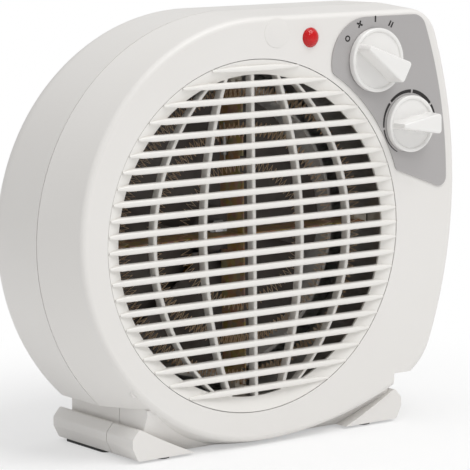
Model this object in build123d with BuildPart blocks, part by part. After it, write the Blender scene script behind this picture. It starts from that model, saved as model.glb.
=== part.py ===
"""Upright electric fan heater: a round drum body with the right side squared out for two knobs.

Millimetres, +Z up, the grille looks towards -Y. The origin lies on the floor under the
middle of the whole heater. Depths are counted backwards from the front face: depth 0 is
the face, a larger depth lies further back. Widths and heights inside the body are measured
from the grille axis.
"""
import math
import os

from build123d import *

# Overall layout
axis_height = 114.5
base_height = 1.5
seam_depth = 30.0
rear_depth = 85.0
wall = 2.2

# Running and seating clearances
seat_gap = 0.3
seam_gap = 0.5
shaft_clearance = 0.05
screw_clearance = 0.25

# Body outline at the seam
drum_radius = 120.0
side_reach = 142.0
side_height = 24.0
side_radius = 260.0
belly_radius = 225.0
upper_corner = 26.0
lower_corner = 42.0
rear_rounding = 20.0

# Body outline at the front rim, smaller and a little offset, which gives the drafted band
rim_radius = 114.2
rim_shift_x = 3.7
rim_shift_z = 3.2
rim_reach = 137.0
rim_upper_corner = 19.0
rim_lower_corner = 36.0
rim_rounding = 3.2

# Feet: a neck under the drum and a flared wedge at either side
neck_left = -71.0
neck_right = 93.0
neck_back_depth = 78.0
groove_top = -86.0
foot_front_depth = 4.5
foot_back_depth = 84.0
foot_flare = 8.5
foot_toe = 5.0
foot_rise = 17.3
foot_run = 36.0

# Outlet grille
ring_radius = 95.0
opening_radius = 87.0
flange_radius = 100.0
slat_pitch = 8.23
slat_count = 22
slat_top = 90.3
slat_height = 3.3
slat_depth = 4.4
slat_front = -1.0
rib_thickness = 2.2
rib_front_depth = 2.8
rib_back_depth = 8.0

# Control corner
panel_thickness = 0.8
panel_inner_radius = 99.0
selector_x = 79.8
selector_z = 90.7
thermostat_x = 103.5
thermostat_z = 54.2
selector_rest_angle = 60.0
thermostat_rest_angle = 90.0
knob_radius = 17.6
knob_front_depth = -6.6
knob_top_depth = -16.0
spindle_radius = 3.0
lamp_x = 36.6
lamp_z = 105.0
lamp_radius = 5.4

# Duct behind the grille
duct_radius = 88.5
duct_wall = 2.0
duct_back_depth = 40.0
duct_screw_radius = 105.0
duct_screw_angles = (80.0, 170.0, 260.0, 350.0)

# Heating element: crossed mica boards with zigzag wire rings in notches
board_front_depth = 13.0
board_back_depth = 34.0
board_thickness = 0.8
board_reach = 83.0
wire_rings = (78.0, 58.0, 38.0)
wire_swing = 3.4
wire_width = 1.0
wire_depth = 16.0
zigzag_pitch = 9.0

# Fan and motor
fan_radius = 76.0
fan_front_depth = 42.0
fan_back_depth = 54.0
blade_count = 7
hub_radius = 13.0
shaft_radius = 2.5
stack_front_depth = 59.0
stack_back_depth = 74.0
rotor_radius = 11.0
air_gap = 0.5
motor_post_x = 24.0
motor_lug_x = 39.0
shroud_radius = 80.0

# Rear intake
intake_radius = 72.0
intake_pitch = 8.0
intake_slot = 4.4

# Screws that join the housing halves
housing_screws_at = ((-76.0, 72.0), (-77.0, -74.0), (96.0, -64.0), (110.0, 96.0))
housing_screw_seat = 38.0
screw_shank_radius = 1.9
screw_head_radius = 3.8
screw_head_height = 2.4

# Cord bushing in the rear wall
gland_back_depth = rear_depth + 2.5

# Place of the grille axis and of the face in the frame centred on the whole heater
axis_x = -(side_reach - drum_radius) / 2
face_to_origin = (gland_back_depth + knob_top_depth) / 2


def facing(depth, x=0.0, z=0.0):
    """Sketch plane at a depth behind the face, looking out of the front."""
    origin = (axis_x + x, depth - face_to_origin, axis_height + z)
    return Plane(origin=origin, x_dir=(1, 0, 0), z_dir=(0, -1, 0))


def at(x, depth, z):
    """Location of a point given by its width, depth and height from the grille axis."""
    return Location((axis_x + x, depth - face_to_origin, axis_height + z))


def belly_meets_side(centre_x, bottom_z, side_centre):
    """Lower point where the belly arc and the bowed side cross."""
    belly_z = bottom_z + belly_radius
    across_x = centre_x - side_centre
    across_z = belly_z - side_height
    gap = math.hypot(across_x, across_z)
    along = (side_radius ** 2 - belly_radius ** 2 + gap ** 2) / (2 * gap)
    off = math.sqrt(side_radius ** 2 - along ** 2)
    x = side_centre + (along * across_x + off * across_z) / gap
    z = side_height + (along * across_z - off * across_x) / gap
    return x, z


def outline(centre_x, centre_z, radius, reach, corner, low_corner):
    """Body outline: half circle on the left, flat top, bowed right side and bowed belly."""
    side_centre = reach - side_radius
    top_z = centre_z + radius
    bottom_z = centre_z - radius
    top_x = side_centre + math.sqrt(side_radius ** 2 - (top_z - side_height) ** 2)
    meet_x, meet_z = belly_meets_side(centre_x, bottom_z, side_centre)
    half_x = (centre_x + meet_x) / 2
    half_z = bottom_z + belly_radius - math.sqrt(belly_radius ** 2 - (half_x - centre_x) ** 2)
    with BuildSketch() as face:
        with BuildLine():
            ThreePointArc((centre_x, bottom_z), (centre_x - radius, centre_z), (centre_x, top_z))
            Line((centre_x, top_z), (top_x, top_z))
            ThreePointArc((top_x, top_z), (reach, side_height), (meet_x, meet_z))
            ThreePointArc((meet_x, meet_z), (half_x, half_z), (centre_x, bottom_z))
        make_face()
        fillet(face.vertices().sort_by_distance((top_x, top_z))[0], corner)
        fillet(face.vertices().sort_by_distance((meet_x, meet_z))[0], low_corner)
    return face.sketch


def seam_outline():
    return outline(0, 0, drum_radius, side_reach, upper_corner, lower_corner)


def rim_outline():
    return outline(
        rim_shift_x, rim_shift_z, rim_radius, rim_reach, rim_upper_corner, rim_lower_corner
    )


def front_drum(inset, rounding):
    """Front half of the drum, narrowing from the seam to the rim, shrunk by the inset."""
    with BuildPart() as drum:
        with BuildSketch(facing(inset)):
            add(rim_outline())
            if inset:
                offset(amount=-inset)
        with BuildSketch(facing(seam_depth)):
            add(seam_outline())
            if inset:
                offset(amount=-inset)
        loft(ruled=True)
        front = drum.faces().filter_by(Axis.Y).sort_by(Axis.Y)[0]
        fillet(front.edges(), rounding)
    return drum.part


def rear_drum(inset, rounding):
    """Rear half of the drum with its large rounded rear edge, shrunk by the inset."""
    with BuildPart() as drum:
        with BuildSketch(facing(rear_depth - inset)):
            add(seam_outline())
            if inset:
                offset(amount=-inset)
        extrude(amount=rear_depth - inset - seam_depth)
        back = drum.faces().filter_by(Axis.Y).sort_by(Axis.Y)[-1]
        fillet(back.edges(), rounding)
    return drum.part


def open_spaces(inset):
    """Room under the base and, beside the necks, under the lip of the drum."""
    depth = 3 * rear_depth
    width = 2 * side_reach
    with BuildPart() as room:
        with Locations(at(0, 0, base_height + inset - axis_height)):
            Box(2 * width, depth, width, align=(Align.CENTER, Align.CENTER, Align.MAX))
        with Locations(at(neck_left + inset, 0, groove_top + inset)):
            Box(width, depth, width, align=(Align.MAX, Align.CENTER, Align.MAX))
        with Locations(at(neck_right - inset, 0, groove_top + inset)):
            Box(width, depth, width, align=(Align.MIN, Align.CENTER, Align.MAX))
    return room.part


def foot_profile(neck, outward):
    """Wedge foot seen from the front; outward is -1 on the left and 1 on the right."""
    floor = base_height - axis_height
    lip = neck + outward * foot_flare
    toe = neck + outward * foot_toe
    heel = neck - outward * (foot_run - foot_toe)
    crown = neck + outward * 4.0
    crown_z = floor + foot_rise
    with BuildSketch() as profile:
        with BuildLine():
            Polyline((heel, floor), (toe, floor), (lip, floor + 7), (lip, floor + 12), (crown, crown_z))
            ThreePointArc((crown, crown_z), (neck - outward * 11, floor + 9.3), (heel, floor))
        make_face()
        for corner in ((toe, floor), (lip, floor + 7), (lip, floor + 12), (crown, crown_z)):
            fillet(profile.vertices().sort_by_distance(corner)[0], 1.8)
    return profile.sketch


def feet(front, back):
    """Neck and the two flared feet between two depths."""
    floor = base_height - axis_height
    face_y = front - face_to_origin
    back_y = min(back, neck_back_depth) - face_to_origin
    slope = 11.0 if front < foot_front_depth else 0.0
    side = Plane(origin=(axis_x + neck_left, 0, axis_height), x_dir=(0, 1, 0), z_dir=(1, 0, 0))
    with BuildPart() as base:
        with BuildSketch(side):
            with BuildLine():
                Polyline(
                    (face_y, groove_top), (face_y, groove_top - 3), (face_y + slope, floor),
                    (back_y, floor), (back_y, groove_top), close=True,
                )
            make_face()
        extrude(amount=neck_right - neck_left)
        for neck, outward in ((neck_left, -1), (neck_right, 1)):
            with BuildSketch(facing(back)):
                add(foot_profile(neck, outward))
            extrude(amount=back - max(front, foot_front_depth))
    return base.part


def duct_screw_points():
    """Places of the duct screws on their circle."""
    turns = [math.radians(angle) for angle in duct_screw_angles]
    return [(duct_screw_radius * math.cos(t), duct_screw_radius * math.sin(t)) for t in turns]


def cylinders(points, radius, front, back):
    """Round posts at several places, from one depth to another."""
    with BuildPart() as posts:
        with BuildSketch(facing(back)):
            with Locations(*points):
                Circle(radius)
        extrude(amount=back - front)
    return posts.part


def front_cavity():
    with BuildPart() as cavity:
        add(front_drum(wall, 1.5))
        add(open_spaces(wall), mode=Mode.SUBTRACT)
    return cavity.part


def rear_cavity():
    with BuildPart() as cavity:
        add(rear_drum(wall, rear_rounding - wall))
        add(open_spaces(wall), mode=Mode.SUBTRACT)
    return cavity.part


def front_shell():
    """Front housing: flat face with the outlet hole, drafted band and the front of the feet."""
    knob_places = ((selector_x, selector_z), (thermostat_x, thermostat_z))
    with BuildPart() as shell:
        add(front_drum(0, rim_rounding))
        add(open_spaces(0), mode=Mode.SUBTRACT)
        add(feet(3.0, seam_depth))
        add(front_cavity(), mode=Mode.SUBTRACT)
        add(cylinders(duct_screw_points(), 3.8, wall, wall + 2.3))
        add(cylinders(housing_screws_at, 4.6, wall, seam_depth))
        with BuildSketch(facing(seam_depth)):
            Rectangle(4 * side_reach, 4 * side_reach)
        extrude(amount=seam_gap / 2, mode=Mode.SUBTRACT)
        add(cylinders([(0, 0)], ring_radius + 0.4, -1, wall + 1), mode=Mode.SUBTRACT)
        add(cylinders(duct_screw_points(), 1.4, wall, wall + 3), mode=Mode.SUBTRACT)
        add(cylinders(housing_screws_at, screw_shank_radius + 0.1, 10, seam_depth),
            mode=Mode.SUBTRACT)
        add(cylinders(knob_places, neck_bore, -1, wall + 1), mode=Mode.SUBTRACT)
        add(cylinders([(lamp_x, lamp_z)], lamp_stem + 0.2, -1, wall + 1), mode=Mode.SUBTRACT)
    return shell.part


def rear_housing():
    """Rear housing: side wall, rounded back with the air intake, shroud ring and screw posts."""
    with BuildPart() as shell:
        add(rear_drum(0, rear_rounding))
        add(open_spaces(0), mode=Mode.SUBTRACT)
        add(feet(seam_depth, foot_back_depth))
        add(rear_cavity(), mode=Mode.SUBTRACT)
        add(cylinders([(0, 0)], intake_radius, rear_depth - wall - 1, rear_depth + 1),
            mode=Mode.SUBTRACT)
        add(intake_grille())
        add(shroud_ring())
        add(cylinders([(-motor_lug_x, 0), (motor_lug_x, 0)], 4.5, motor_lug_back + seat_gap,
                      rear_depth - 0.5))
        add(clipped_posts())
        with BuildSketch(facing(seam_depth + seam_gap / 2)):
            Rectangle(4 * side_reach, 4 * side_reach)
        extrude(amount=seam_gap, mode=Mode.SUBTRACT)
        add(cylinders(housing_screws_at, screw_head_radius + 0.5, housing_screw_seat,
                      rear_depth + 1), mode=Mode.SUBTRACT)
        add(cylinders(housing_screws_at, screw_shank_radius + screw_clearance, seam_depth,
                      rear_depth), mode=Mode.SUBTRACT)
        add(cylinders([(-motor_lug_x, 0), (motor_lug_x, 0)], 1.5, motor_lug_back, rear_depth - 3),
            mode=Mode.SUBTRACT)
        add(cylinders([(gland_x, gland_z)], gland_radius + 0.2, rear_depth - 5, rear_depth + 1),
            mode=Mode.SUBTRACT)
    return shell.part


def clipped_posts():
    """Screw posts of the rear housing, kept inside the rounded body."""
    with BuildPart() as posts:
        add(cylinders(housing_screws_at, 6.0, seam_depth, rear_depth))
        add(rear_drum(0, rear_rounding), mode=Mode.INTERSECT)
    return posts.part


def shroud_ring():
    """Ring that guides the air from the intake to the fan."""
    with BuildPart() as ring:
        with BuildSketch(facing(rear_depth - 1)):
            Circle(shroud_radius + 2)
            Circle(shroud_radius, mode=Mode.SUBTRACT)
        extrude(amount=rear_depth - 1 - duct_back_depth - 2)
    return ring.part


def intake_grille():
    """Upright bars across the intake with two cross bars."""
    reach = int(intake_radius / intake_pitch)
    with BuildPart() as grille:
        with BuildSketch(facing(rear_depth)):
            Circle(intake_radius + 0.5)
            with BuildSketch(mode=Mode.SUBTRACT) as slots:
                with GridLocations(intake_pitch, 1, 2 * reach - 1, 1):
                    Rectangle(intake_slot, 2.2 * intake_radius)
                Circle(intake_radius - 3, mode=Mode.INTERSECT)
                with GridLocations(1, intake_radius / 2, 1, 3):
                    Rectangle(2.2 * intake_radius, 4, mode=Mode.SUBTRACT)
        extrude(amount=wall + 0.3)
    return grille.part


def slat(z):
    """One grille slat with a rounded nose; its tapered ends lie on the ring."""
    anchor_radius = opening_radius + 0.8
    reach = math.sqrt(max(anchor_radius ** 2 - z ** 2, 12.0 ** 2))
    tip = math.sqrt((ring_radius - 0.5) ** 2 - z ** 2)
    nose = 1.1
    pieces = []
    with BuildPart() as bar:
        with BuildSketch(Plane(origin=at(-reach, slat_front, z).position, x_dir=(0, 1, 0),
                               z_dir=(1, 0, 0))) as section:
            Rectangle(slat_depth, slat_height, align=(Align.MIN, Align.CENTER))
            chamfer(section.vertices().group_by(Axis.X)[0], nose)
        extrude(amount=2 * reach)
    pieces.append(bar.part)
    for end in (-1, 1):
        with BuildPart() as finger:
            root = Plane(origin=at(end * (reach - 1.5), slat_front, z).position,
                         x_dir=(0, 1, 0), z_dir=(end, 0, 0))
            with BuildSketch(root):
                with Locations((0.35, 0)):
                    Rectangle(slat_depth - 0.9, slat_height - 0.5,
                              align=(Align.MIN, Align.CENTER))
            with BuildSketch(root.offset(tip - reach + 1.5)):
                with Locations((1.0, 0)):
                    Rectangle(1.5, 0.7, align=(Align.MIN, Align.CENTER))
            loft(ruled=True)
        pieces.append(finger.part)
    return pieces


def grille_rib(middle, end_x, end_z):
    """Upright rib behind the slats, bowed away from the middle of the grille."""
    with BuildPart() as rib:
        with BuildSketch(facing(rib_back_depth)):
            with BuildLine() as path:
                if middle:
                    ThreePointArc((end_x, end_z), (middle, 0), (end_x, -end_z))
                else:
                    Line((0, end_z), (0, -end_z))
            trace(path.line, line_width=rib_thickness)
        extrude(amount=rib_back_depth - rib_front_depth)
    return rib.part


def front_grille():
    """Grille insert: dished ring with a flange, 22 slats and five ribs in one moulding."""
    with BuildPart() as grille:
        with BuildSketch(Plane(origin=at(0, 0, 0).position, x_dir=(1, 0, 0), z_dir=(0, 0, 1))):
            with BuildLine():
                Polyline(
                    (opening_radius, 3.0), (ring_radius, 0.2), (ring_radius, wall + seat_gap),
                    (flange_radius, wall + seat_gap), (flange_radius, flange_back_depth),
                    (opening_radius, flange_back_depth), close=True,
                )
            make_face()
        revolve(axis=Axis(at(0, 0, 0).position, (0, 1, 0)))
        add(grille_rib(0, 0, opening_radius + 0.5))
        for side in (-1, 1):
            add(grille_rib(side * 32.0, side * 16.9, 86.0))
            add(grille_rib(side * 64.0, side * 26.1, 83.5))
        bars = []
        for number in range(slat_count):
            bars += slat(slat_top - number * slat_pitch)
        add(bars)
    return grille.part


def control_panel():
    """Thin panel that hugs the grille ring and carries the dials."""
    top = selector_z + 23.8
    edge_centre = rim_reach - side_radius
    edge_radius = side_radius - 6.5
    top_x = edge_centre + math.sqrt(edge_radius ** 2 - (top - side_height) ** 2)
    foot_x, foot_z = 129.0, 15.5
    edge_mid = edge_centre + math.sqrt(edge_radius ** 2 - (70 - side_height) ** 2)
    low_x = edge_centre + math.sqrt(edge_radius ** 2 - (foot_z - side_height) ** 2)
    inner_x = math.sqrt(panel_inner_radius ** 2 - 29.0 ** 2)
    with BuildPart() as panel:
        with BuildSketch(facing(0)) as plate:
            with BuildLine():
                ThreePointArc((51.1, 84.8), (57.5, 107.2), (75.0, top))
                Line((75.0, top), (top_x, top))
                ThreePointArc((top_x, top), (edge_mid, 70), (low_x, foot_z))
                Line((low_x, foot_z), (inner_x, 29.0))
                inner_mid = panel_inner_radius / math.sqrt(2)
                ThreePointArc((inner_x, 29.0), (inner_mid + 3, math.sqrt(
                    panel_inner_radius ** 2 - (inner_mid + 3) ** 2)), (51.1, 84.8))
            make_face()
            fillet(plate.vertices().sort_by_distance((top_x, top))[0], 9)
            fillet(plate.vertices().sort_by_distance((low_x, foot_z))[0], 5)
            fillet(plate.vertices().sort_by_distance((inner_x, 29.0))[0], 3)
            fillet(plate.vertices().sort_by_distance((51.1, 84.8))[0], 4)
            with Locations((selector_x, selector_z), (thermostat_x, thermostat_z)):
                Circle(neck_bore, mode=Mode.SUBTRACT)
        extrude(amount=panel_thickness)
    return panel.part


def knob(x, z, rest_angle):
    """Round knob with a raised wedge bar; the narrow end of the bar is the pointer."""
    with BuildPart() as body:
        with BuildSketch(facing(-panel_thickness - seat_gap, x, z)):
            Circle(knob_radius)
        extrude(amount=-knob_front_depth - panel_thickness - seat_gap, taper=3)
        rim = body.faces().sort_by(Axis.Y)[0]
        fillet(rim.edges(), 1.0)
        with BuildSketch(facing(knob_front_depth, x, z)):
            Circle(knob_radius - 2.6)
        extrude(amount=-1.0, mode=Mode.SUBTRACT)
        with BuildSketch(facing(knob_front_depth + 1.5, x, z)):
            with Locations(Rotation(0, 0, rest_angle)):
                Polygon((-2.0, 16.0), (2.0, 16.0), (7.2, -16.5), (-7.2, -16.5), align=None)
        extrude(amount=knob_front_depth + 1.5 - knob_top_depth, taper=4)
        with BuildSketch(facing(-panel_thickness, x, z)):
            Circle(spindle_radius + shaft_clearance)
        extrude(amount=10, mode=Mode.SUBTRACT)
    return body.part


def spindle(x, z, back):
    """Spindle that is pressed into a knob."""
    return cylinders([(x, z)], spindle_radius, 0.5 - 10, back)


def control_body(x, z, width, height, back):
    """Switch or thermostat body behind the face, with its neck through the shell."""
    with BuildPart() as body:
        with BuildSketch(facing(back, x, z)):
            RectangleRounded(width, height, 2.0)
        extrude(amount=back - wall - seat_gap)
        add(cylinders([(x, z)], neck_bore - 0.4, 0, wall + 1))
        add(cylinders([(x, z)], spindle_radius + shaft_clearance, -1, back - 1.5),
            mode=Mode.SUBTRACT)
        with BuildSketch(facing(back + 5, x, z)):
            with GridLocations(width / 2, height / 2, 2, 2):
                Rectangle(0.8, 4.8)
        extrude(amount=5.5)
    return body.part


def pilot_lens():
    """Domed lens with a hollow stem through the face."""
    dome = 3.0
    with BuildPart() as lens:
        with BuildSketch(Plane(origin=at(lamp_x, 0, lamp_z).position, x_dir=(1, 0, 0),
                               z_dir=(0, 0, 1))):
            with BuildLine():
                ThreePointArc((0, -dome), (lamp_radius * 0.72, -dome * 0.62), (lamp_radius, 0))
                Polyline((lamp_radius, 0), (lamp_stem, 0), (lamp_stem, 12), (2.9, 12), (2.9, 0.5),
                         (0, 0.5), (0, -dome))
            make_face()
        revolve(axis=Axis(at(lamp_x, 0, lamp_z).position, (0, 1, 0)))
    return lens.part


def pilot_neon():
    """Neon lamp inside the stem of the lens."""
    return cylinders([(lamp_x, lamp_z)], 2.6, 1.0, 16.0)


def air_duct():
    """Round duct behind the grille with a flange and four screw lugs."""
    front = flange_back_depth + seat_gap
    with BuildPart() as duct:
        with BuildSketch(facing(duct_back_depth)):
            Circle(duct_radius + duct_wall)
        extrude(amount=duct_back_depth - front)
        with BuildSketch(facing(front + 2)):
            Circle(flange_radius - 1)
        extrude(amount=2)
        with BuildSketch(facing(front + 2)):
            with Locations(*duct_screw_points()):
                Circle(5.0)
            for angle in duct_screw_angles:
                with Locations(Rotation(0, 0, angle)):
                    Rectangle(duct_screw_radius, 10, align=(Align.MIN, Align.CENTER))
        extrude(amount=2)
        add(cylinders([(0, 0)], duct_radius, 0, duct_back_depth + 1), mode=Mode.SUBTRACT)
        add(cylinders(duct_screw_points(), 1.7, 0, 10), mode=Mode.SUBTRACT)
    return duct.part


def screws(points, seat, length, shank=1.3, head=2.8, thick=1.8):
    """Pan-head screws; the head lies behind the seat depth, the shank runs forwards."""
    with BuildPart() as group:
        add(cylinders(points, shank, seat - length, seat + 0.5))
        add(cylinders(points, head, seat, seat + thick))
        with BuildSketch(facing(seat + thick)):
            with Locations(*points):
                Rectangle(1.3 * head, 0.5)
                Rectangle(0.5, 1.3 * head)
        extrude(amount=0.6, mode=Mode.SUBTRACT)
    return group.part


def mica_boards():
    """Two crossed mica boards, notched for the wire rings and cut out for the fan nut."""
    with BuildPart() as boards:
        for turn in (0, 90):
            with BuildSketch(facing(board_back_depth)):
                with Locations(Rotation(0, 0, turn)):
                    Rectangle(2 * board_reach, board_thickness)
            extrude(amount=board_back_depth - board_front_depth)
        for ring in wire_rings:
            with BuildSketch(facing(wire_depth + 0.3)):
                Circle(ring + wire_swing + 1.2)
                Circle(ring - wire_swing - 1.2, mode=Mode.SUBTRACT)
            extrude(amount=wire_depth + 1 - board_front_depth, mode=Mode.SUBTRACT)
        add(cylinders([(0, 0)], 10, 28, 40), mode=Mode.SUBTRACT)
    return boards.part


def board_clips():
    """Four blocks that hold the ends of the mica boards in the duct."""
    with BuildPart() as clips:
        with BuildSketch(facing(30)):
            with PolarLocations(board_reach + 0.8, 4):
                Rectangle(8.4, 7.0)
            Circle(duct_radius - seat_gap, mode=Mode.INTERSECT)
            with PolarLocations(board_reach - 2, 4):
                Rectangle(4.6, board_thickness + 0.4, mode=Mode.SUBTRACT)
        extrude(amount=12)
    return clips.part


def zigzag_ring(radius):
    """One closed zigzag of heating wire."""
    teeth = int(2 * math.pi * radius / zigzag_pitch / 4) * 4
    outer = []
    inner = []
    for step in range(2 * teeth):
        turn = math.pi * (step + 0.5) / teeth
        swing = wire_swing if step % 2 else -wire_swing
        outer.append(((radius + swing + wire_width / 2) * math.cos(turn),
                      (radius + swing + wire_width / 2) * math.sin(turn)))
        inner.append(((radius + swing - wire_width / 2) * math.cos(turn),
                      (radius + swing - wire_width / 2) * math.sin(turn)))
    with BuildPart() as wire:
        with BuildSketch(facing(wire_depth)):
            Polygon(*outer, align=None)
            Polygon(*inner, align=None, mode=Mode.SUBTRACT)
        extrude(amount=1.2)
    return wire.part


def thermal_cutout():
    """Disc thermostat clipped to the upright board."""
    with BuildPart() as disc:
        with BuildSketch(Plane(origin=at(board_thickness / 2 + 0.2, 26, 48).position,
                               x_dir=(0, 1, 0), z_dir=(1, 0, 0))):
            Circle(7.5)
        extrude(amount=8)
        with BuildSketch(Plane(origin=at(board_thickness / 2 + 6, 26, 48).position,
                               x_dir=(0, 1, 0), z_dir=(1, 0, 0))):
            with GridLocations(1, 9, 1, 2):
                Rectangle(4.0, 0.8)
        extrude(amount=9)
    return disc.part


def thermal_fuse():
    """One-shot fuse lying along the upright board."""
    with BuildPart() as fuse:
        with Locations(at(-board_thickness / 2 - 2.4, 26, 48)):
            Cylinder(2.0, 11)
            Cylinder(0.5, 24)
    return fuse.part


def fan():
    """Axial fan: hub with twisted blades."""
    hub_front = fan_front_depth - 1
    middle = (fan_front_depth + fan_back_depth) / 2
    with BuildPart() as wheel:
        add(cylinders([(0, 0)], hub_radius, hub_front, fan_back_depth - 1))
        fillet(wheel.faces().sort_by(Axis.Y)[0].edges(), 2.5)
        for number in range(blade_count):
            turn = 360 / blade_count * number
            with BuildSketch(Plane(at(0, middle, 0) * Rotation(0, turn, 0) * Location(
                    (hub_radius - 2, 0, 0), (0, 90, 0)))):
                Rectangle(11, 2.0, rotation=90 - 48)
            with BuildSketch(Plane(at(0, middle, 0) * Rotation(0, turn, 0) * Location(
                    (fan_radius, 0, 0), (0, 90, 0)))):
                Rectangle(30, 1.4, rotation=90 - 70)
            loft(ruled=True)
        add(cylinders([(0, 0)], shaft_radius + 0.02, 0, rear_depth), mode=Mode.SUBTRACT)
    return wheel.part


def fan_nut():
    """Hexagonal nut on the shaft in front of the hub."""
    with BuildPart() as nut:
        with BuildSketch(facing(fan_front_depth - 1 - 0.1)):
            RegularPolygon(6.0, 6)
            Circle(shaft_radius + 0.02, mode=Mode.SUBTRACT)
        extrude(amount=4)
    return nut.part


def motor_stack():
    """Laminated stator with the rotor bore and the window for the coil."""
    with BuildPart() as stack:
        with BuildSketch(facing(stack_back_depth)):
            with Locations((0, -13)):
                RectangleRounded(60, 62, 4)
            Circle(rotor_radius + air_gap, mode=Mode.SUBTRACT)
            with Locations((0, -23.5)):
                Rectangle(42, 17, mode=Mode.SUBTRACT)
            with Locations((-motor_post_x, 0), (motor_post_x, 0)):
                Circle(2.2, mode=Mode.SUBTRACT)
        extrude(amount=stack_back_depth - stack_front_depth)
    return stack.part


def motor_coil():
    """Winding and bobbin round the lower limb of the stator."""
    with BuildPart() as coil:
        with BuildSketch(facing(stack_back_depth + 4)):
            with Locations((0, -34.6)):
                RectangleRounded(38, 34, 3)
        extrude(amount=stack_back_depth - stack_front_depth + 8)
        with BuildSketch(facing(stack_back_depth + 0.3)):
            with Locations((0, -38)):
                Rectangle(60, 12.6)
        extrude(amount=stack_back_depth - stack_front_depth + 0.6, mode=Mode.SUBTRACT)
    return coil.part


def bearing_bracket(inner, outer, lugs):
    """Bracket across the stator with a bearing seat; inner is the side of the stator."""
    away = 1 if outer > inner else -1
    plate_near = inner + away * 2.5
    plate_far = plate_near + away * 2.0
    span = 2 * (motor_lug_x if lugs else motor_post_x) + 10
    posts = ((-motor_post_x, 0), (motor_post_x, 0))
    with BuildPart() as bracket:
        with BuildSketch(facing(max(plate_near, plate_far))):
            SlotOverall(span, 16)
        extrude(amount=2.0)
        add(cylinders(posts, 4.0, min(inner + away * 0.1, plate_near),
                      max(inner + away * 0.1, plate_near)))
        add(cylinders([(0, 0)], 7.5, min(plate_near - away * 1.0, outer),
                      max(plate_near - away * 1.0, outer)))
        add(cylinders([(0, 0)], 4.1, 0, rear_depth), mode=Mode.SUBTRACT)
        add(cylinders(posts, 2.2, 0, rear_depth), mode=Mode.SUBTRACT)
        if lugs:
            lug_points = ((-motor_lug_x, 0), (motor_lug_x, 0))
            add(cylinders(lug_points, 1.8, 0, rear_depth), mode=Mode.SUBTRACT)
    return bracket.part


def bush(front, back):
    """Sintered bearing bush."""
    with BuildPart() as ring:
        with BuildSketch(facing(back)):
            Circle(4.08)
            Circle(shaft_radius + shaft_clearance, mode=Mode.SUBTRACT)
        extrude(amount=back - front)
    return ring.part


def rotor():
    """Squirrel-cage rotor on the shaft."""
    with BuildPart() as core:
        with BuildSketch(facing(stack_back_depth)):
            Circle(rotor_radius)
            Circle(shaft_radius + 0.02, mode=Mode.SUBTRACT)
        extrude(amount=stack_back_depth - stack_front_depth)
    return core.part


def mount_screws():
    """Screws that fix the motor bracket; their heads lie in front of the bracket."""
    plate_front = motor_lug_back - 2.0
    with BuildPart() as group:
        add(cylinders(lugs_at, 2.8, plate_front - 1.8, plate_front))
        add(cylinders(lugs_at, 1.4, plate_front - 0.5, rear_depth - 3.5))
        with BuildSketch(facing(plate_front - 1.2)):
            with Locations(*lugs_at):
                Rectangle(3.6, 0.5)
                Rectangle(0.5, 3.6)
        extrude(amount=1.0, mode=Mode.SUBTRACT)
    return group.part


def terminal_block():
    """Block for the supply leads on its pillar at the rear wall."""
    with BuildPart() as block:
        with BuildSketch(facing(rear_depth - wall - seat_gap, terminal_x, terminal_z)):
            RectangleRounded(24, 14, 1.5)
        extrude(amount=12)
        with BuildSketch(facing(rear_depth - wall - seat_gap - 12, terminal_x, terminal_z)):
            with GridLocations(8, 1, 3, 1):
                Circle(2.2)
        extrude(amount=-3, mode=Mode.SUBTRACT)
    return block.part


def cord_gland():
    """Bushing in the rear wall where the supply cord would enter."""
    with BuildPart() as gland:
        add(cylinders([(gland_x, gland_z)], gland_radius, rear_depth - wall - 3, rear_depth + 0.3))
        add(cylinders([(gland_x, gland_z)], gland_radius + 2, rear_depth + 0.3, gland_back_depth))
        add(cylinders([(gland_x, gland_z)], 3.6, 0, 2 * rear_depth), mode=Mode.SUBTRACT)
    return gland.part


def rubber_feet():
    """Pads under the feet: a round one in front and a long strip behind, on either side."""
    floor = base_height
    with BuildPart() as pads:
        with BuildSketch(Plane.XY):
            for neck, outward in ((neck_left, -1), (neck_right, 1)):
                with Locations((axis_x + neck - outward * 14, 12 - face_to_origin)):
                    Circle(4.5)
                with Locations((axis_x + neck, 60 - face_to_origin)):
                    RectangleRounded(8, 40, 3)
        extrude(amount=floor)
    return pads.part


def save(name, part):
    """Write one node under its plain name."""
    part.label = name
    export_step(part, f"parts/{name}.step")


def together(*parts):
    """One node made of several equal pieces."""
    with BuildPart() as group:
        for piece in parts:
            add(piece)
    return group.part


# Derived seats
neck_bore = 5.0
lamp_stem = 4.0
flange_back_depth = 4.5
rear_bracket_lug = stack_back_depth + 4.5
motor_lug_back = rear_bracket_lug
gland_x = 66.0
gland_z = -62.0
gland_radius = 6.0
terminal_x = 40.0
terminal_z = -88.0
lugs_at = ((-motor_lug_x, 0), (motor_lug_x, 0))
posts_at = ((-motor_post_x, 0), (motor_post_x, 0))

os.makedirs("parts", exist_ok=True)
save("front_shell", front_shell())
save("rear_housing", rear_housing())
save("front_grille", front_grille())
save("control_panel", control_panel())
save("selector_knob", knob(selector_x, selector_z, selector_rest_angle))
save("thermostat_knob", knob(thermostat_x, thermostat_z, thermostat_rest_angle))
save("selector_switch", control_body(selector_x, selector_z, 27, 27, 22))
save("selector_spindle", spindle(selector_x, selector_z, 20))
save("thermostat_body", control_body(thermostat_x, thermostat_z, 22, 30, 16))
save("thermostat_spindle", spindle(thermostat_x, thermostat_z, 14))
save("pilot_lens", pilot_lens())
save("pilot_neon", pilot_neon())
save("air_duct", air_duct())
save("duct_screws", screws(duct_screw_points(), flange_back_depth + seat_gap + 2, 3.6,
                           shank=1.3, head=2.8))
save("mica_boards", mica_boards())
save("board_clips", board_clips())
save("heating_wires", together(*[zigzag_ring(r) for r in wire_rings]))
save("thermal_cutout", thermal_cutout())
save("thermal_fuse", thermal_fuse())
save("fan", fan())
save("fan_nut", fan_nut())
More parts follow.
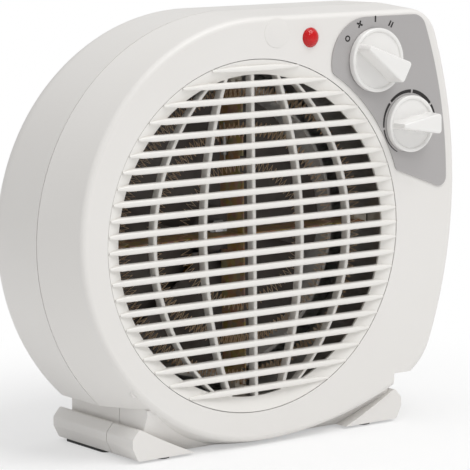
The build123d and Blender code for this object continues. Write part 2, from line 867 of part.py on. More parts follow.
save("motor_shaft", cylinders([(0, 0)], shaft_radius, fan_front_depth - 6, rear_depth - 5))
save("motor_rotor", rotor())
save("motor_stack", motor_stack())
save("motor_coil", motor_coil())
save("front_bracket", bearing_bracket(stack_front_depth, stack_front_depth - 5, False))
save("rear_bracket", bearing_bracket(stack_back_depth, stack_back_depth + 6.5, True))
save("front_bush", bush(stack_front_depth - 5, stack_front_depth - 1.5))
save("rear_bush", bush(stack_back_depth + 1.5, stack_back_depth + 6.5))
save("motor_screws", screws(posts_at, stack_back_depth + 4.5, 20.5, shank=2.0, head=3.6))
save("mount_screws", mount_screws())
save("terminal_block", terminal_block())
save("cord_gland", cord_gland())
save("rubber_feet", rubber_feet())
save("housing_screws", screws(housing_screws_at, housing_screw_seat, 24,
                              shank=screw_shank_radius, head=screw_head_radius,
                              thick=screw_head_height))
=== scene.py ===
import math

import bmesh
import bpy
from mathutils import Matrix, Vector

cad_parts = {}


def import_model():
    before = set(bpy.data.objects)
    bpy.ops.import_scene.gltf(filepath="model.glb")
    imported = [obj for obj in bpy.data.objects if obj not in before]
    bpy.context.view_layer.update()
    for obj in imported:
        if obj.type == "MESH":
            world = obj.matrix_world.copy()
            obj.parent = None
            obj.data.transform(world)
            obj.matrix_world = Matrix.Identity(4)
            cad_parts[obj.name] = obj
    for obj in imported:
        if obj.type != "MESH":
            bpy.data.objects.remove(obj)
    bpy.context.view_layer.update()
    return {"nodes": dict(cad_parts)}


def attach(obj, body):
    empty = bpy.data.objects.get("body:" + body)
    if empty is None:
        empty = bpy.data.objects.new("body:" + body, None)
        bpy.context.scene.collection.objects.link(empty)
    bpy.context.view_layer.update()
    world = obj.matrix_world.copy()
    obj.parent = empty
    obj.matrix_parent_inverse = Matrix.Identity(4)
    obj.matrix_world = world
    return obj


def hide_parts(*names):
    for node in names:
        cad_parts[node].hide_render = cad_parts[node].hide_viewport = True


# Blender works in metres. Everything about the heater is written in millimetres from the
# grille axis: across to the right, up, and the depth behind the front face.
MM = 0.001
AXIS_X = -11.0
AXIS_Z = 114.5
FACE_Y = -35.75
ACROSS, DEPTH, UP = 0, 1, 2

SELECTOR = (79.8, 90.7)
THERMOSTAT = (103.5, 54.2)
LAMP = (36.6, 105.0)
BLANK_DISC = (14.0, 108.5)

# The knobs stand in front of the face, so their depths are below zero.
KNOB_BACK = -1.1
KNOB_RIM = -4.6
KNOB_TOP = -14.5
BAR_SINK = 1.0

# Printed marks lie on the panel. The selector's stand round it at their angles from the top,
# and each arc of the thermostat has its start, end, first width and last width.
INK_FRONT = -0.86
INK_THICKNESS = 0.06
ARC_THICKNESS = 0.05
SELECTOR_MARKS = 22.4
OFF_ANGLE = -56
FAN_ANGLE = -27
ONE_ANGLE = 2
TWO_ANGLES = (29, 33.5)
TWO_LEAN = 31
STROKE_HEIGHT = 3.4
THERMOSTAT_MARKS = 17.0
THERMOSTAT_ARCS = ((208, 262, 0.5, 0.9), (266, 312, 1.0, 1.4), (316, 366, 1.5, 1.9),
                   (370, 416, 2.0, 2.3), (420, 470, 2.4, 2.8))

# The grille: its slats from the top down, the ring's section as radius and depth, and for
# each rib the offset of its middle, the offset of its ends and half its height.
SLAT_COUNT = 22
SLAT_PITCH = 8.23
TOP_SLAT = 90.3
SLAT_DEPTH = 1.2
SLAT_HALF = 10.0
OPENING_RADIUS = 87.3
TIP_RADIUS = 94.6
SHORTEST_REACH = 12.0
RING_SECTION = ((87.0, 3.0), (94.3, 0.35), (95.0, 0.3), (95.0, 2.5), (99.8, 2.5), (99.8, 4.4),
                (87.0, 4.4))
RIBS = ((0, 0, 87.0), (32.0, 16.9, 86.0), (-32.0, -16.9, 86.0), (64.0, 26.1, 83.5),
        (-64.0, -26.1, 83.5))
RIB_DEPTH = 5.4

HUB_RADIUS = 13.0
HUB_FRONT = 41.0
HUB_BACK = 53.0
BLADE_COUNT = 6
BLADE_ROOT = 11.5
BLADE_REACH = 63.5
BLADE_DEPTH = 48.0

LATTICE_PITCH = 5.0
LATTICE_RADIUS = 70.0
LATTICE_DEPTH = 83.4

# The heating wire's rings as radius and depth, and how far its zigzag swings.
WIRE_RINGS = ((78.0, 15.4), (76.5, 14.0), (58.0, 15.4), (56.5, 14.0), (38.0, 15.0))
WIRE_PITCH = 2.9
WIRE_SWING = 3.0

# Area lamps as name, place, side and power, all aimed at the middle of the heater.
LAMPS_AIM = (0, 0, 0.12)
LAMPS = (("key", (0.45, -1.3, 2.0), 1.4, 27),
         ("side", (-1.9, -0.6, 0.9), 1.2, 2),
         ("top", (0.0, 0.1, 2.2), 1.2, 6))


def place(across, depth, up):
    """Point in the frame for a place on the heater."""
    return Vector(((across + AXIS_X) * MM, (depth + FACE_Y) * MM, (up + AXIS_Z) * MM))


# Materials

class Value:
    """A number, colour or vector inside a material; sums and products add Math nodes."""

    def __init__(self, paint, socket):
        self.paint = paint
        self.socket = socket

    def __add__(self, other):
        return self.paint.maths("ADD", self, other)

    def __mul__(self, other):
        return self.paint.maths("MULTIPLY", self, other)

    def __rsub__(self, other):
        return self.paint.maths("SUBTRACT", other, self)

    def __lt__(self, other):
        return self.paint.maths("LESS_THAN", self, other)

    def part(self, index):
        """One of X, Y and Z of a vector."""
        return self.paint.node("ShaderNodeSeparateXYZ", {}, {"Vector": self}, index)


class Paint:
    """A material under construction, with its shader's plain values set at once."""

    def __init__(self, name, **plain):
        self.material = bpy.data.materials.new(name)
        self.material.use_nodes = True
        self.tree = self.material.node_tree
        self.shader = self.tree.nodes["Principled BSDF"]
        for key, value in plain.items():
            self.shader.inputs[key.replace("_", " ")].default_value = value

    def node(self, kind, settings, values, output=0):
        """Adds a node: first its settings, then the values or links of its sockets."""
        made = self.tree.nodes.new(kind)
        for key, value in settings.items():
            setattr(made, key, value)
        for key, value in values.items():
            if isinstance(value, Value):
                self.tree.links.new(value.socket, made.inputs[key])
            else:
                made.inputs[key].default_value = value
        return Value(self, made.outputs[output])

    def maths(self, operation, first, second):
        return self.node("ShaderNodeMath", {"operation": operation}, {0: first, 1: second})

    def coords(self, centre=(0, 0, 0), scale=(1, 1, 1)):
        """Object coordinates, moved and scaled by a Mapping node."""
        here = self.node("ShaderNodeTexCoord", {}, {}, "Object")
        return self.node("ShaderNodeMapping", {"vector_type": "TEXTURE"}, {
            "Vector": here, "Location": centre, "Scale": scale})

    def length(self, vector):
        return self.node("ShaderNodeVectorMath", {"operation": "LENGTH"}, {0: vector}, "Value")

    def noise(self, coords, scale, detail=3.0, roughness=0.5):
        return self.node("ShaderNodeTexNoise", {}, {
            "Vector": coords, "Scale": scale, "Detail": detail, "Roughness": roughness})

    def mix(self, factor, first, second):
        """Colour between two colours, which the Mix node keeps in its sockets 6 and 7."""
        return self.node("ShaderNodeMix", {"data_type": "RGBA"},
                         {0: factor, 6: first, 7: second}, 2)

    def feed(self, name, value):
        self.tree.links.new(value.socket, self.shader.inputs[name])

    def bump(self, height, strength, distance):
        self.feed("Normal", self.node("ShaderNodeBump", {}, {
            "Height": height, "Strength": strength, "Distance": distance}))


def tone(red, green, blue):
    """Linear colour of a plain screen colour from 0 to 255."""
    values = []
    for level in (red, green, blue):
        share = level / 255
        values.append(share / 12.92 if share <= 0.04045 else ((share + 0.055) / 1.055) ** 2.4)
    return (*values, 1.0)


def moulded(name, colour, deep, roughness, grain=0.00004, gloss=0.0):
    """Moulded plastic: faint cloudiness, a fine grain and slightly uneven gloss."""
    paint = Paint(name, Specular_IOR_Level=0.5, Coat_Roughness=0.12)
    where = paint.coords()
    cloud = paint.noise(where, 14.0, 4.0)
    grit = paint.noise(where, 1400.0, 2.0)
    smear = paint.noise(where, 46.0, 5.0, 0.6)
    paint.feed("Base Color", paint.mix(cloud * 0.7, colour, deep))
    paint.feed("Roughness", smear * 0.12 + (roughness - 0.06))
    if gloss:
        paint.shader.inputs["Coat Weight"].default_value = gloss
    paint.bump(grit * 0.7 + smear * 0.3, 0.35, grain)
    return paint.material


def metal(name, colour, dark, roughness, streak=(1, 1, 1)):
    """Bare or plated metal with rolling streaks and dull patches."""
    paint = Paint(name, Metallic=1.0)
    where = paint.coords(scale=streak)
    streaks = paint.noise(where, 300.0, 3.0)
    dull = paint.noise(paint.coords(), 60.0, 4.0)
    paint.feed("Base Color", paint.mix(streaks, colour, dark))
    paint.feed("Roughness", dull * 0.2 + (roughness - 0.1))
    paint.bump(streaks, 0.3, 0.00004)
    return paint.material


def panel_finish():
    """Silver-grey lacquer with a fine metallic fleck."""
    paint = Paint("panel_lacquer", Metallic=0.25)
    where = paint.coords()
    fleck = paint.noise(where, 2600.0, 1.0)
    cloud = paint.noise(where, 9.0, 3.0)
    base = paint.mix(cloud, tone(176, 173, 172), tone(168, 165, 165))
    paint.feed("Base Color", paint.mix(fleck * 0.35, base, tone(206, 204, 203)))
    paint.feed("Roughness", fleck * 0.15 + 0.3)
    paint.bump(fleck, 0.2, 0.00003)
    return paint.material


def lens_finish():
    """Red lens with small moulded facets, and a painted glow that makes it brighter at its
    middle.
    """
    paint = Paint("red_lens", IOR=1.49, Coat_Weight=0.25, Coat_Roughness=0.05,
                  Roughness=0.16, Specular_IOR_Level=0.35)
    where = paint.coords(centre=place(LAMP[0], 0, LAMP[1]))
    facets = paint.node("ShaderNodeTexVoronoi", {"feature": "F1"}, {
        "Vector": where, "Scale": 900.0, "Randomness": 0.15})
    # Painted glow: the base colour turns a lighter red towards the middle of the lens.
    painted_glow = 1 - paint.length(where) * 150.0
    paint.feed("Base Color", paint.mix(painted_glow, tone(176, 0, 8), tone(226, 4, 16)))
    paint.bump(facets, 0.6, 0.0003)
    return paint.material


def mica_finish():
    """Amber mica sheet: layered flakes with brown spots."""
    paint = Paint("mica_board", Specular_IOR_Level=0.6)
    where = paint.coords()
    flakes = paint.node("ShaderNodeTexVoronoi", {"feature": "F1"}, {
        "Vector": where, "Scale": 260.0}, "Color")
    spots = paint.noise(where, 90.0, 5.0)
    base = paint.mix(spots, tone(196, 164, 112), tone(146, 104, 58))
    paint.feed("Base Color", paint.mix(0.12, base, flakes))
    paint.feed("Roughness", spots * 0.4 + 0.25)
    paint.bump(spots, 0.4, 0.0001)
    return paint.material


def laminated_finish():
    """Stack of steel sheets half a millimetre thick, seen as fine lines along the depth."""
    paint = Paint("laminated_steel", Metallic=0.9)
    where = paint.coords()
    sheets = paint.maths("FRACT", where.part(DEPTH) * 2000.0, 0)
    rust = paint.noise(where, 130.0, 4.0)
    base = paint.mix(rust, tone(150, 150, 152), tone(104, 98, 94))
    paint.feed("Base Color", paint.mix((sheets < 0.18) * 0.6, base, tone(50, 48, 46)))
    paint.feed("Roughness", rust * 0.3 + 0.35)
    paint.bump(sheets, 0.3, 0.0001)
    return paint.material


def coil_finish():
    """Wound coil under amber tape."""
    paint = Paint("coil_tape", Coat_Weight=0.3)
    where = paint.coords()
    turns = paint.node("ShaderNodeTexWave", {"bands_direction": "Z"}, {
        "Vector": where, "Scale": 420.0, "Distortion": 0.4})
    spots = paint.noise(where, 80.0, 3.0)
    base = paint.mix(spots, tone(204, 158, 60), tone(170, 112, 36))
    paint.feed("Base Color", paint.mix(turns * 0.4, base, tone(120, 70, 26)))
    paint.feed("Roughness", spots * 0.25 + 0.25)
    paint.bump(turns, 0.4, 0.0001)
    return paint.material


def wire_finish():
    """Resistance wire, dull and slightly heat-coloured."""
    paint = Paint("heating_wire", Metallic=0.1)
    heat = paint.noise(paint.coords(), 120.0, 3.0)
    paint.feed("Base Color", paint.mix(heat, tone(250, 236, 214), tone(222, 186, 146)))
    paint.feed("Roughness", heat * 0.2 + 0.3)
    return paint.material


def ink_finish():
    """Dark pad-printed ink with slightly uneven cover."""
    paint = Paint("dark_ink", Specular_IOR_Level=0.4)
    cover = paint.noise(paint.coords(), 900.0, 3.0)
    paint.feed("Base Color", paint.mix(cover * 0.12, tone(24, 20, 20), tone(120, 118, 118)))
    paint.feed("Roughness", cover * 0.2 + 0.35)
    return paint.material


def make_finishes():
    """All materials of the heater by a short name."""
    return {
        "shell": moulded("shell_plastic", tone(233, 231, 228), tone(226, 223, 219), 0.38),
        "grille": moulded("grille_plastic", tone(238, 236, 232), tone(230, 227, 222), 0.3,
                          gloss=0.25),
        "knob": moulded("knob_plastic", tone(240, 239, 237), tone(234, 232, 229), 0.22,
                        grain=0.00001, gloss=0.6),
        "panel": panel_finish(),
        "lens": lens_finish(),
        "neon": moulded("neon_glass", tone(240, 170, 120), tone(220, 130, 80), 0.15, gloss=0.8),
        "duct": metal("duct_steel", tone(205, 203, 200), tone(170, 168, 166), 0.34,
                      streak=(1, 6, 1)),
        "mica": mica_finish(),
        "wire": wire_finish(),
        "clip": moulded("ceramic_clip", tone(232, 226, 214), tone(214, 206, 190), 0.6),
        "zinc": metal("zinc_steel", tone(196, 196, 194), tone(150, 150, 150), 0.35),
        "cutout": moulded("cutout_body", tone(40, 38, 36), tone(60, 56, 52), 0.4),
        "fan": moulded("fan_plastic", tone(104, 98, 94), tone(84, 78, 74), 0.45),
        "stack": laminated_finish(),
        "coil": coil_finish(),
        "bronze": metal("bush_bronze", tone(190, 150, 96), tone(150, 110, 66), 0.4),
        "steel": metal("shaft_steel", tone(210, 210, 212), tone(170, 170, 172), 0.2,
                       streak=(1, 8, 1)),
        "switch": moulded("switch_body", tone(224, 222, 214), tone(208, 204, 194), 0.5),
        "rubber": moulded("rubber_pad", tone(72, 72, 72), tone(56, 56, 56), 0.75),
        "gland": moulded("gland_rubber", tone(214, 212, 208), tone(198, 196, 190), 0.6),
        "ink": ink_finish(),
    }


NODE_FINISHES = {
    "front_shell": "shell", "rear_housing": "shell", "front_grille": "grille",
    "control_panel": "panel", "selector_knob": "knob", "thermostat_knob": "knob",
    "selector_switch": "switch", "selector_spindle": "switch", "thermostat_body": "switch",
    "thermostat_spindle": "steel", "pilot_lens": "lens", "pilot_neon": "neon",
    "air_duct": "duct", "duct_screws": "zinc", "mica_boards": "mica", "board_clips": "clip",
    "heating_wires": "wire", "thermal_cutout": "cutout", "thermal_fuse": "zinc", "fan": "fan",
    "fan_nut": "zinc", "motor_shaft": "steel", "motor_rotor": "stack", "motor_stack": "stack",
    "motor_coil": "coil", "front_bracket": "zinc", "rear_bracket": "zinc",
    "front_bush": "bronze", "rear_bush": "bronze", "motor_screws": "zinc",
    "mount_screws": "zinc", "terminal_block": "switch", "cord_gland": "gland",
    "rubber_feet": "rubber", "housing_screws": "zinc",
}


def paint_nodes(frame, finishes):
    """Gives each CAD node its material."""
    for name, finish in NODE_FINISHES.items():
        mesh = frame["nodes"][name].data
        mesh.materials.clear()
        mesh.materials.append(finishes[finish])


# Modelling helpers

def clear_selection():
    """Leaves edit mode and selects nothing."""
    if bpy.context.object and bpy.context.object.mode != "OBJECT":
        bpy.ops.object.mode_set(mode="OBJECT")
    bpy.ops.object.select_all(action="DESELECT")


def disc(across, up, radius, front, back, sides=96):
    """Round plug along the depth, as a start for a turned piece, left in edit mode."""
    clear_selection()
    bpy.ops.mesh.primitive_cylinder_add(
        vertices=sides, radius=radius * MM, depth=(back - front) * MM,
        location=place(across, (front + back) / 2, up), rotation=(math.pi / 2, 0, 0))
    bpy.ops.object.transform_apply(location=True, rotation=True, scale=True)
    bpy.ops.object.mode_set(mode="EDIT")


def block(wide, deep, high):
    """Block about the origin, all of it selected and left in edit mode."""
    clear_selection()
    bpy.ops.mesh.primitive_cube_add(size=1)
    bpy.ops.object.mode_set(mode="EDIT")
    bpy.ops.mesh.select_all(action="SELECT")
    bpy.ops.transform.resize(value=(wide * MM, deep * MM, high * MM))


def upright_sheet():
    """Sheet of one metre about the origin that faces front, selected and in edit mode."""
    clear_selection()
    bpy.ops.mesh.primitive_plane_add(size=1, rotation=(math.pi / 2, 0, 0))
    bpy.ops.object.transform_apply(location=False, rotation=True, scale=False)
    bpy.ops.object.mode_set(mode="EDIT")
    bpy.ops.mesh.select_all(action="SELECT")


def pick(kind, test):
    """Selects the faces, edges or vertices for which the test holds, in edit mode."""
    bpy.ops.mesh.select_mode(type=kind)
    bpy.ops.mesh.select_all(action="DESELECT")
    mesh = bmesh.from_edit_mesh(bpy.context.object.data)
    parts = {"FACE": mesh.faces, "EDGE": mesh.edges, "VERT": mesh.verts}[kind]
    for part in parts:
        if test(part):
            part.select = True
    mesh.select_flush_mode()
    bmesh.update_edit_mesh(bpy.context.object.data)


def round_edges(width, segments, test):
    """Rounds the edges for which the test holds."""
    pick("EDGE", test)
    bpy.ops.mesh.bevel(offset=width * MM, segments=segments, affect="EDGES")


def faces_front(face):
    return face.normal.y < -0.9


def faces_back(face):
    return face.normal.y > 0.9


def run(edge, axis):
    """How far an edge runs along an axis."""
    return abs((edge.verts[0].co - edge.verts[1].co)[axis])


def before(edge, depth):
    """Whether an edge lies wholly in front of a depth in metres."""
    return all(vertex.co.y < depth for vertex in edge.verts)


def is_corner(edge):
    """Whether two faces meet at an edge in more than a shallow angle."""
    return (len(edge.link_faces) == 2 and
            edge.link_faces[0].normal.dot(edge.link_faces[1].normal) < 0.9)


def turn_outwards():
    """Turns all faces of the active piece outwards and leaves edit mode."""
    bpy.ops.object.mode_set(mode="EDIT")
    bpy.ops.mesh.select_all(action="SELECT")
    bpy.ops.mesh.normals_make_consistent(inside=False)
    bpy.ops.object.mode_set(mode="OBJECT")


def set_down(piece, spot, lean=0.0):
    """Leans a piece made about the origin clockwise and moves it to its place."""
    if lean:
        piece.data.transform(Matrix.Rotation(math.radians(lean), 4, "Y"))
    piece.data.transform(Matrix.Translation(spot))


def join(pieces):
    """Makes the pieces one, under the first."""
    clear_selection()
    for piece in pieces:
        piece.select_set(True)
    bpy.context.view_layer.objects.active = pieces[0]
    bpy.ops.object.join()


def finish_piece(name, material, smooth=35, body="housing"):
    """Ends edit mode, puts the place into the mesh and hands the piece to its body."""
    piece = bpy.context.object
    if piece.mode != "OBJECT":
        bpy.ops.object.mode_set(mode="OBJECT")
    piece.name = name
    piece.data.name = name
    bpy.ops.object.transform_apply(location=True, rotation=True, scale=True)
    piece.data.materials.clear()
    piece.data.materials.append(material)
    bpy.ops.object.shade_smooth_by_angle(angle=math.radians(smooth))
    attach(piece, body)
    return piece


# Knobs

def knob_plate(across, up, radius):
    """Round plate of a knob with a raised rim."""
    disc(across, up, radius, KNOB_RIM, KNOB_BACK)
    pick("FACE", faces_front)
    bpy.ops.mesh.inset(thickness=1.9 * MM)
    bpy.ops.mesh.inset(thickness=0.5 * MM)
    bpy.ops.transform.translate(value=(0, 0.9 * MM, 0))
    rim = place(across, KNOB_RIM, up).y
    round_edges(0.6, 3, lambda edge: is_corner(edge) and all(
        abs(vertex.co.y - rim) < 1e-6 for vertex in edge.verts))
    bpy.ops.object.mode_set(mode="OBJECT")
    return bpy.context.object


def knob_bar(radius):
    """Wedge bar of a knob about the origin, its narrow end upwards and its corners round."""
    block(1, 1, 1)
    deep = (KNOB_RIM + BAR_SINK - KNOB_TOP) * MM
    tip, butt = (radius - 1.6) * MM, (radius - 2.4) * MM
    half_tip, half_butt = 0.11 * radius * MM, 0.40 * radius * MM
    shape = bmesh.from_edit_mesh(bpy.context.object.data)
    for vertex in shape.verts:
        raised = vertex.co.y < 0
        ahead = vertex.co.z > 0
        side = 1 if vertex.co.x > 0 else -1
        draft = 0.5 * MM if raised else 0.0
        vertex.co = Vector((side * ((half_tip if ahead else half_butt) - draft),
                            -deep if raised else 0.0,
                            (tip - draft) if ahead else (draft - butt)))
    bmesh.update_edit_mesh(bpy.context.object.data)
    tall = 0.5 * deep
    round_edges(2.2, 5, lambda edge: run(edge, DEPTH) > tall and edge.verts[0].co.z < 0)
    round_edges(0.9, 3, lambda edge: run(edge, DEPTH) > tall and edge.verts[0].co.z > 0 and
                is_corner(edge))
    round_edges(0.8, 3, lambda edge: before(edge, -deep + 1e-6))
    bpy.ops.mesh.select_all(action="SELECT")
    bpy.ops.object.mode_set(mode="OBJECT")
    return bpy.context.object


def make_knob(name, centre, radius, turn, finishes, body):
    """Knob whose bar points at the dial with its narrow end."""
    across, up = centre
    plate = knob_plate(across, up, radius)
    bar = knob_bar(radius)
    set_down(bar, place(across, KNOB_RIM + BAR_SINK, up), turn)
    join([plate, bar])
    piece = finish_piece(name, finishes["knob"], 40, body)
    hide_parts(name.replace("_form", ""))


# Printed marks

def around(centre, radius, angle):
    """Point on a circle; the angle runs clockwise from the top."""
    turn = math.radians(angle)
    return centre[0] + radius * math.sin(turn), centre[1] + radius * math.cos(turn)


def ring_mark(name, across, up, outer, inner, finishes):
    """Printed ring."""
    disc(across, up, outer, INK_FRONT, INK_FRONT + INK_THICKNESS, 48)
    pick("FACE", faces_front)
    bpy.ops.mesh.inset(thickness=(outer - inner) * MM)
    bpy.ops.mesh.delete(type="FACE")
    pick("FACE", faces_back)
    bpy.ops.mesh.delete(type="FACE")
    finish_piece(name, finishes["ink"])


def stroke_mark(name, strokes, finishes):
    """Printed strokes, each given by its middle, width, height and lean."""
    made = []
    for across, up, wide, high, lean in strokes:
        upright_sheet()
        bpy.ops.transform.resize(value=(wide * MM, 1, high * MM))
        bpy.ops.mesh.bevel(offset=0.3 * min(wide, high) * MM, segments=3, affect="VERTICES")
        bpy.ops.mesh.select_all(action="SELECT")
        bpy.ops.mesh.extrude_region_move(
            TRANSFORM_OT_translate={"value": (0, INK_THICKNESS * MM, 0)})
        bpy.ops.object.mode_set(mode="OBJECT")
        stroke = bpy.context.object
        set_down(stroke, place(across, INK_FRONT, up), lean)
        made.append(stroke)
    join(made)
    turn_outwards()
    finish_piece(name, finishes["ink"])


def arc_band(centre, radius, start, end, first_width, last_width):
    """Printed arc about a knob that widens outwards along its length."""
    upright_sheet()
    bpy.ops.mesh.subdivide(number_cuts=15)
    bpy.ops.mesh.extrude_region_move(TRANSFORM_OT_translate={"value": (0, 1, 0)})
    bpy.ops.object.mode_set(mode="OBJECT")
    band = bpy.context.object
    for point in band.data.vertices:
        share = point.co.x + 0.5
        wide = first_width + (last_width - first_width) * share
        across, up = around(centre, radius + wide * (point.co.z + 0.5),
                            start + (end - start) * share)
        point.co = place(across, INK_FRONT + ARC_THICKNESS * point.co.y, up)
    turn_outwards()
    return band


def make_dial_marks(finishes):
    """Ring, fan sign, I and II round the selector, and widening arcs round the thermostat."""
    across, up = around(SELECTOR, SELECTOR_MARKS, OFF_ANGLE)
    ring_mark("mark_off", across, up, 1.75, 0.95, finishes)
    middle = around(SELECTOR, SELECTOR_MARKS, FAN_ANGLE)
    petals = []
    for quarter in range(4):
        angle = FAN_ANGLE + 45 + 90 * quarter
        petals.append((*around(middle, 1.15, angle), 1.05, 1.9, angle))
    stroke_mark("mark_fan", petals, finishes)
    one = around(SELECTOR, SELECTOR_MARKS, ONE_ANGLE)
    stroke_mark("mark_one", [(*one, 1.0, STROKE_HEIGHT, ONE_ANGLE)], finishes)
    two = [(*around(SELECTOR, SELECTOR_MARKS, angle), 0.95, STROKE_HEIGHT, TWO_LEAN)
           for angle in TWO_ANGLES]
    stroke_mark("mark_two", two, finishes)
    join([arc_band(THERMOSTAT, THERMOSTAT_MARKS, *arc) for arc in THERMOSTAT_ARCS])
    finish_piece("mark_warmth", finishes["ink"])


def make_blank_disc(finishes):
    """Shallow plain disc moulded on the face beside the lamp."""
    disc(*BLANK_DISC, 8.0, -0.2, 0.0, 72)
    front = place(0, -0.15, 0).y
    round_edges(0.15, 3, lambda edge: before(edge, front))
    finish_piece("blank_disc", finishes["shell"])


# Outlet grille

def first_slat():
    """One slat about the origin: rounded nose, and both ends drawn out to thin tips."""
    block(2 * SLAT_HALF, 4.4, 3.3)
    round_edges(1.25, 4, lambda edge: before(edge, 0) and
                run(edge, ACROSS) > 0.5 * SLAT_HALF * MM)
    for side in (-1, 1):
        pick("FACE", lambda face: face.normal.x * side > 0.9)
        bpy.ops.mesh.extrude_region_move(
            TRANSFORM_OT_translate={"value": (side * SLAT_HALF * MM, -0.6 * MM, 0)})
        bpy.ops.transform.resize(value=(1, 0.5, 0.42))
    bpy.ops.object.mode_set(mode="OBJECT")
    return bpy.context.object


def make_slats():
    """The slats, each as long as the chord of the opening with its tips on the ring."""
    first = first_slat()
    slats = []
    for number in range(SLAT_COUNT):
        up = TOP_SLAT - number * SLAT_PITCH
        reach = math.sqrt(max(OPENING_RADIUS ** 2 - up ** 2, SHORTEST_REACH ** 2))
        tip = math.sqrt(TIP_RADIUS ** 2 - up ** 2)
        slat = first.copy()
        slat.data = first.data.copy()
        bpy.context.collection.objects.link(slat)
        for point in slat.data.vertices:
            side = 1 if point.co.x > 0 else -1
            at_tip = abs(point.co.x) > 1.5 * SLAT_HALF * MM
            point.co.x = (tip if at_tip else reach) * MM * side
        set_down(slat, place(0, SLAT_DEPTH, up))
        slats.append(slat)
    bpy.data.objects.remove(first)
    return slats


def make_rib(bow, end, top):
    """Upright rib behind the slats, bowed outwards at its middle."""
    block(2.3, 5.2, 2 * top)
    round_edges(0.6, 3, lambda edge: before(edge, 0) and run(edge, UP) > top * MM)
    pick("EDGE", lambda edge: run(edge, UP) > top * MM)
    bpy.ops.mesh.subdivide(number_cuts=31)
    bpy.ops.object.mode_set(mode="OBJECT")
    rib = bpy.context.object
    if bow:
        radius = ((bow - end) ** 2 + top ** 2) / (2 * (bow - end))
        side = 1 if radius > 0 else -1
        for point in rib.data.vertices:
            up = point.co.z / MM
            point.co.x += (bow - radius + side * math.sqrt(radius ** 2 - up ** 2)) * MM
    set_down(rib, place(0, RIB_DEPTH, 0))
    return rib


def make_ring():
    """Dished ring of the grille, turned from its section."""
    clear_selection()
    bpy.ops.mesh.primitive_circle_add(vertices=len(RING_SECTION), radius=1)
    ring = bpy.context.object
    for point, (radius, depth) in zip(ring.data.vertices, RING_SECTION):
        point.co = place(radius, depth, 0)
    bpy.ops.object.mode_set(mode="EDIT")
    bpy.ops.mesh.select_all(action="SELECT")
    bpy.ops.mesh.spin(steps=180, angle=2 * math.pi, center=place(0, 0, 0), axis=(0, 1, 0))
    bpy.ops.mesh.select_all(action="SELECT")
    bpy.ops.mesh.remove_doubles(threshold=0.00001)
    turn_outwards()
    return ring


def make_grille(finishes):
    """Outlet grille: dished ring, slats with tapered tips and five ribs."""
    join([make_ring(), *make_slats(), *[make_rib(*rib) for rib in RIBS]])
    grille = finish_piece("outlet_grille", finishes["grille"], 40)
    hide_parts("front_grille")


# Inside and back of the heater

def make_blade(turn):
    """One broad fan blade: a twisted sheet with rounded outer corners."""
    clear_selection()
    bpy.ops.mesh.primitive_grid_add(x_subdivisions=14, y_subdivisions=12, size=1)
    bpy.ops.object.mode_set(mode="EDIT")
    bpy.ops.mesh.select_all(action="SELECT")
    bpy.ops.transform.resize(value=(2, 1, 1))
    bpy.ops.object.mode_set(mode="OBJECT")
    blade = bpy.context.object
    for point in blade.data.vertices:
        along = point.co.x
        share = point.co.y + 0.5
        corner = 5.0 * along ** 4
        reach = BLADE_ROOT + share * (BLADE_REACH - corner)
        half = math.radians(31.0 + 3.0 * math.sin(math.pi * share))
        angle = math.radians(turn) + along * half + 0.25 * share
        pitch = 4.6 - 0.6 * share
        point.co = place(reach * math.sin(angle), BLADE_DEPTH - along * pitch,
                         reach * math.cos(angle))
    sheet = blade.modifiers.new("sheet", "SOLIDIFY")
    sheet.thickness = 1.1 * MM
    sheet.offset = 0
    bpy.ops.object.modifier_apply(modifier="sheet")
    turn_outwards()
    return blade


def make_fan(finishes):
    """Fan wheel: domed hub and broad overlapping blades."""
    disc(0, 0, HUB_RADIUS, HUB_FRONT, HUB_BACK, 64)
    front = place(0, HUB_FRONT + 0.5, 0).y
    round_edges(2.4, 5, lambda edge: before(edge, front))
    bpy.ops.object.mode_set(mode="OBJECT")
    hub = bpy.context.object
    blades = [make_blade(360.0 / BLADE_COUNT * number) for number in range(BLADE_COUNT)]
    join([hub, *blades])
    wheel = finish_piece("fan_wheel", finishes["fan"], 40, "rotor")
    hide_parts("fan")


def make_intake_lattice(finishes):
    """Fine level bars that close the upright slots of the rear intake to small openings."""
    bars = []
    for step in range(-13, 14):
        up = LATTICE_PITCH * step
        half = math.sqrt(LATTICE_RADIUS ** 2 - up ** 2)
        block(2 * half, 1.6, 2.0)
        round_edges(0.4, 2, lambda edge: run(edge, ACROSS) > half * MM)
        bpy.ops.object.mode_set(mode="OBJECT")
        bar = bpy.context.object
        set_down(bar, place(0, LATTICE_DEPTH, up))
        bars.append(bar)
    join(bars)
    finish_piece("intake_lattice", finishes["shell"])


def make_wires(finishes):
    """Corrugated heating wire on the three notched rings of the boards."""
    clear_selection()
    curve = bpy.data.curves.new("heater_wire", "CURVE")
    curve.dimensions = "3D"
    curve.bevel_depth = 0.36 * MM
    curve.bevel_resolution = 1
    for radius, depth in WIRE_RINGS:
        teeth = int(2 * math.pi * radius / WIRE_PITCH)
        line = curve.splines.new("POLY")
        line.points.add(2 * teeth - 1)
        line.use_cyclic_u = True
        for step, point in enumerate(line.points):
            swing = WIRE_SWING if step % 2 else -WIRE_SWING
            turn = math.pi * step / teeth
            reach = radius + swing + 0.5 * math.sin(7 * turn)
            spot = place(reach * math.cos(turn), depth, reach * math.sin(turn))
            point.co = (*spot, 1)
    wire = bpy.data.objects.new("heater_wire", curve)
    bpy.context.collection.objects.link(wire)
    wire.select_set(True)
    bpy.context.view_layer.objects.active = wire
    bpy.ops.object.convert(target="MESH")
    piece = finish_piece("heater_wire", finishes["wire"], 60)
    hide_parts("heating_wires")


# Stage, light and camera

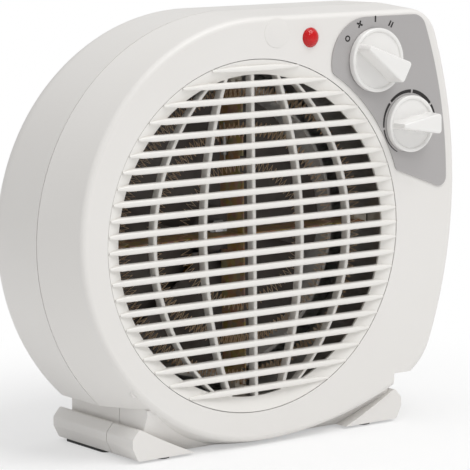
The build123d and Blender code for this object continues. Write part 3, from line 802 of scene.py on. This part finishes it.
def make_stage():
    """Pale floor that fades to plain white round the heater where the camera sees it."""
    clear_selection()
    bpy.ops.mesh.primitive_plane_add(size=12, location=(0, 0, 0))
    floor = bpy.context.object
    floor.name = "floor"
    paint = Paint("pale_floor", Roughness=0.9, Specular_IOR_Level=0.0)
    paint.shader.inputs["Base Color"].default_value = (0.93, 0.93, 0.93, 1)
    where = paint.coords()
    paint.bump(paint.noise(where, 300.0, 2.0), 0.05, 0.0001)
    white = paint.node("ShaderNodeEmission", {}, {"Color": (1, 1, 1, 1), "Strength": 1.0})
    away = paint.length(where)
    seen = paint.node("ShaderNodeLightPath", {}, {}, "Is Camera Ray")
    fade = paint.node("ShaderNodeMapRange", {"interpolation_type": "SMOOTHSTEP"}, {
        "Value": away, "From Min": 0.12, "From Max": 0.34, "To Min": 0.45, "To Max": 1.0})
    plain = Value(paint, paint.shader.outputs[0])
    blend = paint.node("ShaderNodeMixShader", {}, {0: fade * seen, 1: plain, 2: white})
    output = paint.tree.nodes["Material Output"]
    paint.tree.links.new(blend.socket, output.inputs["Surface"])
    floor.data.materials.append(paint.material)


def make_sky():
    """Even pale surroundings; the camera sees plain white."""
    world = bpy.data.worlds.new("studio")
    bpy.context.scene.world = world
    world.use_nodes = True
    tree = world.node_tree
    tree.nodes.clear()
    path = tree.nodes.new("ShaderNodeLightPath")
    mixer = tree.nodes.new("ShaderNodeMixShader")
    output = tree.nodes.new("ShaderNodeOutputWorld")
    tree.links.new(path.outputs["Is Camera Ray"], mixer.inputs[0])
    for socket, strength in ((1, 0.52), (2, 1.0)):
        light = tree.nodes.new("ShaderNodeBackground")
        light.inputs["Color"].default_value = (1, 1, 1, 1)
        light.inputs["Strength"].default_value = strength
        tree.links.new(light.outputs[0], mixer.inputs[socket])
    tree.links.new(mixer.outputs[0], output.inputs["Surface"])


def make_lamps():
    """Square area lamps, all aimed at the heater."""
    for name, spot, side, power in LAMPS:
        clear_selection()
        bpy.ops.object.light_add(type="AREA", location=spot)
        lamp = bpy.context.object
        lamp.name = name
        lamp.data.shape = "RECTANGLE"
        lamp.data.size = lamp.data.size_y = side
        lamp.data.energy = power
        direction = Vector(LAMPS_AIM) - Vector(spot)
        lamp.rotation_euler = direction.to_track_quat("-Z", "Y").to_euler()


def make_camera():
    """The photograph's camera, 35.8 degrees left of the front and 8.1 degrees above."""
    clear_selection()
    bpy.ops.object.camera_add()
    camera = bpy.context.object
    right = Vector((0.809507, -0.586972, -0.012757))
    up = Vector((0.092648, 0.106256, 0.990013))
    ahead = Vector((0.579754, 0.802604, -0.140397))
    turn = Matrix((right, up, -ahead)).transposed().to_4x4()
    camera.matrix_world = Matrix.Translation((-0.82186, -1.1583, 0.30966)) @ turn
    camera.data.sensor_width = 36
    camera.data.lens = 200.0
    camera.data.shift_x = -0.0490
    camera.data.shift_y = 0.0089
    camera.data.clip_end = 50
    bpy.context.scene.camera = camera
    bpy.context.scene.view_settings.view_transform = "Standard"


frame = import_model()
finishes = make_finishes()
paint_nodes(frame, finishes)
make_knob("selector_knob_form", SELECTOR, 17.6, -60, finishes, "selector")
make_knob("thermostat_knob_form", THERMOSTAT, 15.8, -90, finishes, "thermostat")
make_dial_marks(finishes)
make_grille(finishes)
make_wires(finishes)
make_fan(finishes)
make_intake_lattice(finishes)
make_blank_disc(finishes)
make_stage()
make_sky()
make_lamps()
make_camera()
